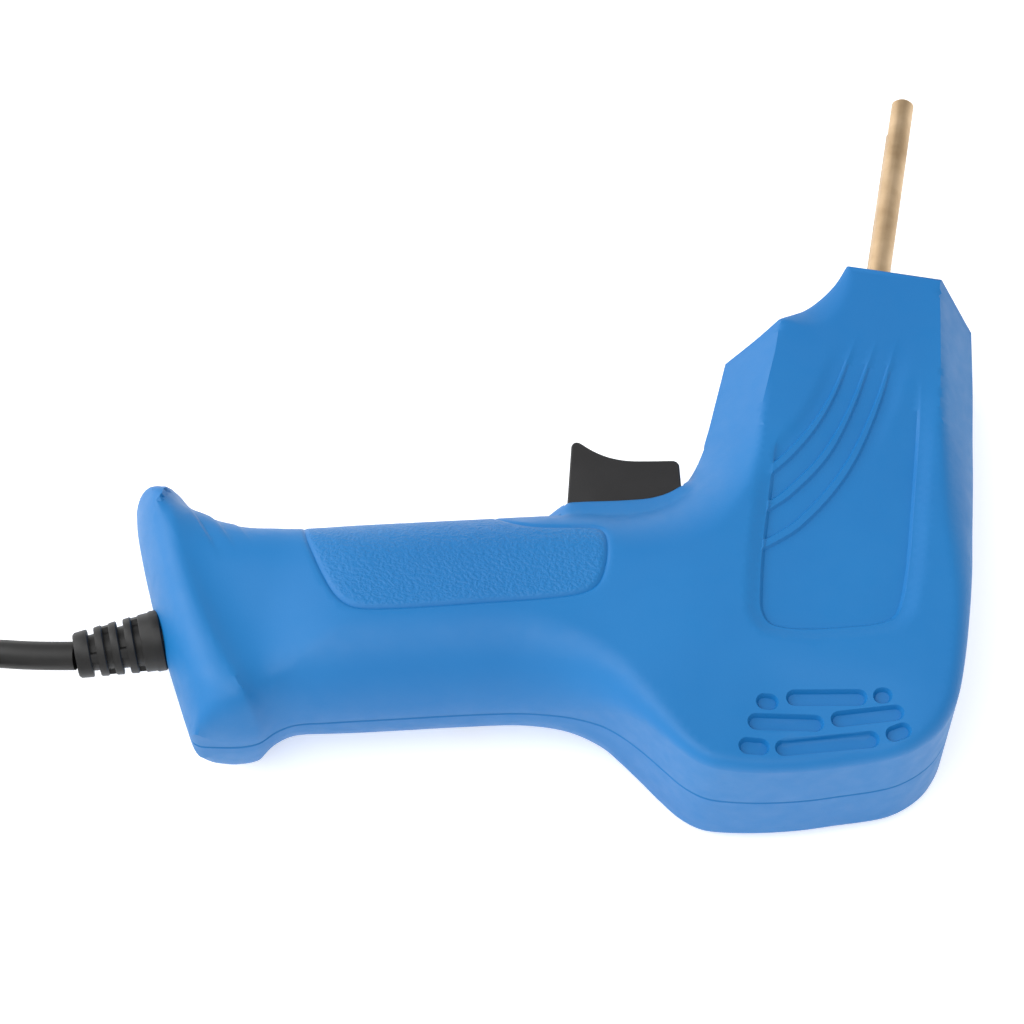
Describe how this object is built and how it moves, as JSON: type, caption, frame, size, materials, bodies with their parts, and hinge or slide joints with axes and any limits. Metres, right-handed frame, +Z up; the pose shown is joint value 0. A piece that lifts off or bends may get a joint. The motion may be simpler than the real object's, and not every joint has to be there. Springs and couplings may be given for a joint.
{
  "type": "hot stapler for plastic repair",
  "caption": "Pistol-shaped mains hot stapler: two-half plastic housing, trigger, transformer inside, two parallel brass electrode rods and a mains lead with plug.",
  "frame": {"origin": "centre of the tool's box, cord left out, on the surface that the tool lies on", "axes": "+Y along the electrodes towards their tips, +X from the grip to the back of the body, +Z up from the side that the tool lies on"},
  "size_m": [0.2888, 0.2722, 0.037],
  "materials": {
    "housing": "fine matte moulded texture",
    "black_plastic": "fine matte moulded texture",
    "phenolic": "moulded",
    "brass": "drawn rod, lightly brushed",
    "copper": "bare or enamelled copper",
    "core_steel": "stacked sheet steel",
    "screw_steel": "zinc plated",
    "nickel": "nickel plated",
    "cord_rubber": "matte flexible PVC",
    "wire_brown": "PVC insulation",
    "wire_blue": "PVC insulation"
  },
  "bodies": {
    "housing": {"housing_upper": "housing", "housing_lower": "housing", "housing_screws": "screw_steel", "electrode_upper": "brass", "electrode_lower": "brass", "electrode_insulator": "phenolic", "terminal_upper": "brass", "terminal_lower": "brass", "terminal_set_screws": "screw_steel", "secondary_strap": "copper", "transformer_core": "core_steel", "bobbin": "phenolic", "primary_winding": "copper", "trigger_spring": "screw_steel", "switch_base": "phenolic", "fixed_contacts": "brass", "live_wire": "wire_brown", "neutral_wire": "wire_blue", "load_wire": "wire_brown", "cord_clamp": "black_plastic", "clamp_saddle": "black_plastic", "cord_clamp_screws": "screw_steel", "cord_inner": "cord_rubber", "strain_relief": "cord_rubber", "cord_lead": "cord_rubber", "cord_coil": "cord_rubber", "cord_tail": "cord_rubber", "cable_tie": "black_plastic", "plug_body": "cord_rubber", "plug_pins": "nickel"},
    "trigger": {"trigger": "black_plastic", "contact_bridge": "brass"}
  },
  "joints": [
    {"name": "trigger_pull", "type": "slide", "parent": "housing", "child": "trigger", "axis": [0.2275, -0.9738, 0], "range_m": [0, 0.0055], "stiffness_N_per_m": 900, "springref_m": -0.004, "deforming": ["trigger_spring"]}
  ]
}
